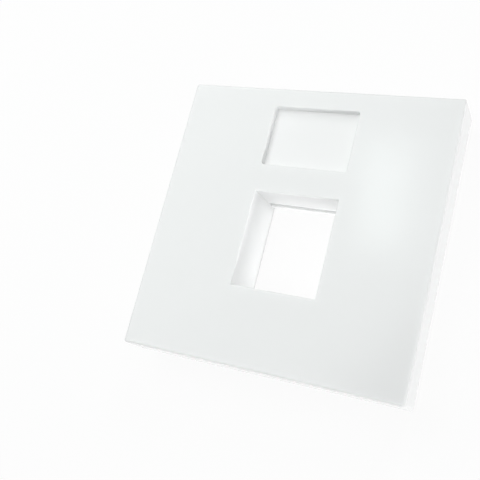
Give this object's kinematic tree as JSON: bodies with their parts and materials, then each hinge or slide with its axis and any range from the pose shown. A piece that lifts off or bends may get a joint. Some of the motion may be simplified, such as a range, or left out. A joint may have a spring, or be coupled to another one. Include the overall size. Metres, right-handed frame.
{
  "type": "keystone insert plate",
  "caption": "Square plastic insert plate with a deep rim, a shallow label pocket and an aperture and rear housing that hold a snap-in keystone jack.",
  "frame": {"origin": "under the middle of the plate, in the plane of the housing's rear face, with the plate lying on its back", "axes": "+X right and +Y towards the label end as the front is read, +Z out of the front face"},
  "size_m": [0.05, 0.05, 0.01],
  "materials": {
    "white_plastic": "gloss"
  },
  "bodies": {
    "root": {"insert_plate": "white_plastic"}
  },
  "joints": []
}
